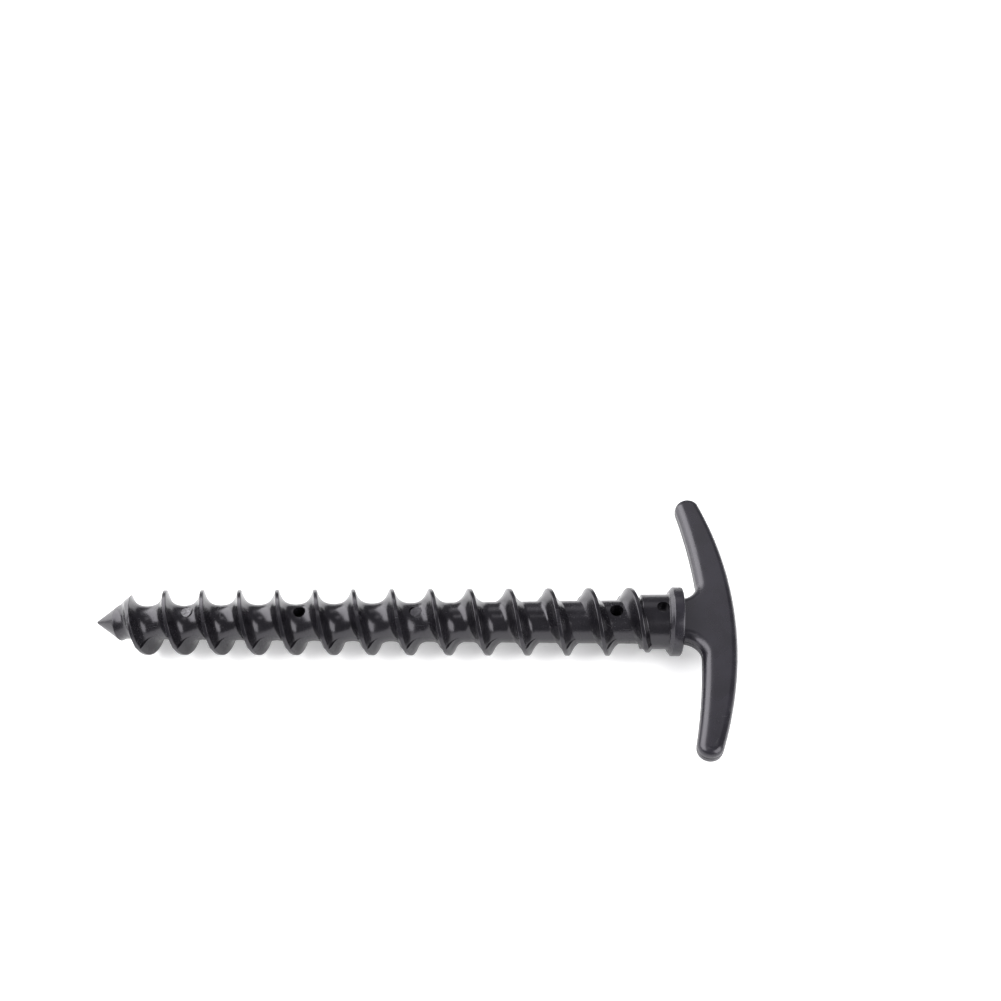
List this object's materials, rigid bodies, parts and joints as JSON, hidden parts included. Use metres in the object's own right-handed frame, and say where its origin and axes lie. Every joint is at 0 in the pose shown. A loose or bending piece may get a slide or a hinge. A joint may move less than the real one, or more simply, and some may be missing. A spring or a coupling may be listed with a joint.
{
  "type": "tent stake",
  "caption": "Screw-in plastic tent stake with a helical ground thread, a pointed tip, a round collar and a curved T-shaped grip.",
  "frame": {"origin": "the point of the stake, on the centre line of the shank", "axes": "+X along the shank from the point to the grip, +Y along the arms of the grip, +Z square to the flat faces of the grip; the stake lies on its side in this frame"},
  "size_m": [0.1448, 0.07, 0.0152],
  "materials": {
    "grip_plastic": "moulded black plastic, fine satin texture",
    "screw_plastic": "moulded black plastic, smooth semi-gloss",
    "core_plastic": "plain black plastic rod"
  },
  "bodies": {
    "root": {"t_grip": "grip_plastic", "screw_sleeve": "screw_plastic", "core_rod": "core_plastic"}
  },
  "joints": []
}
